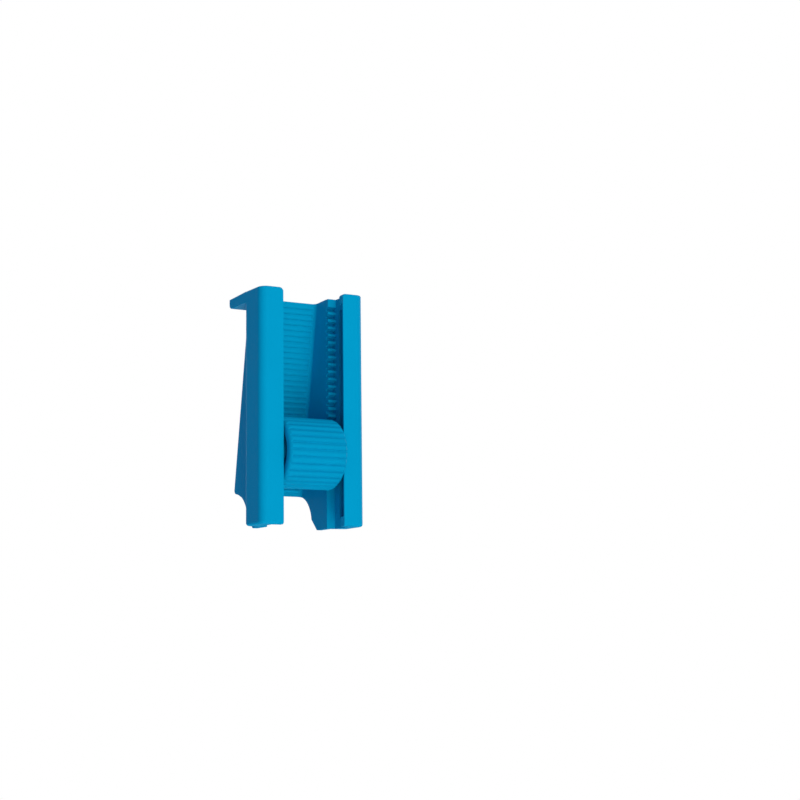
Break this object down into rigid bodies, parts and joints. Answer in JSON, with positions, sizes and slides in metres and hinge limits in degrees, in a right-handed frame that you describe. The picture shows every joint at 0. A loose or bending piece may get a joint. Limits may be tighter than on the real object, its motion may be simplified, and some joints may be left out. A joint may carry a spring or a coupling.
{
  "type": "tubing pinch clamp",
  "caption": "Thumbwheel clamp for flexible tubing: a ribbed wheel rolls on toothed racks along an inclined ramp and squeezes the tube against it.",
  "frame": {"origin": "middle of the lower end, on the plane the clamp stands on", "axes": "+Z along the tube from the open end of the travel to the closed end; -Y is the front, where the thumbwheel is pushed; the ramp is on the +Y side"},
  "size_m": [0.02, 0.0203, 0.041],
  "materials": {
    "body_plastic": "satin moulded",
    "wheel_plastic": "satin moulded",
    "pin_steel": "drawn"
  },
  "bodies": {
    "clamp_body": {"clamp_body": "body_plastic"},
    "axle": {"axle_pin": "pin_steel"},
    "thumbwheel": {"thumbwheel": "wheel_plastic"}
  },
  "joints": [
    {"name": "wheel_travel", "type": "slide", "parent": "clamp_body", "child": "axle", "axis": [0, 0, 1], "range_m": [0, 0.0256]},
    {"name": "wheel_roll", "type": "hinge", "parent": "axle", "child": "thumbwheel", "pos_m": [0, -0.00395, 0.0127], "axis": [-1, 0, 0], "range_deg": [0, 698.7]}
  ],
  "couplings": [
    {"joint": "wheel_roll", "follows": "wheel_travel", "rad_per_m": 476}
  ]
}
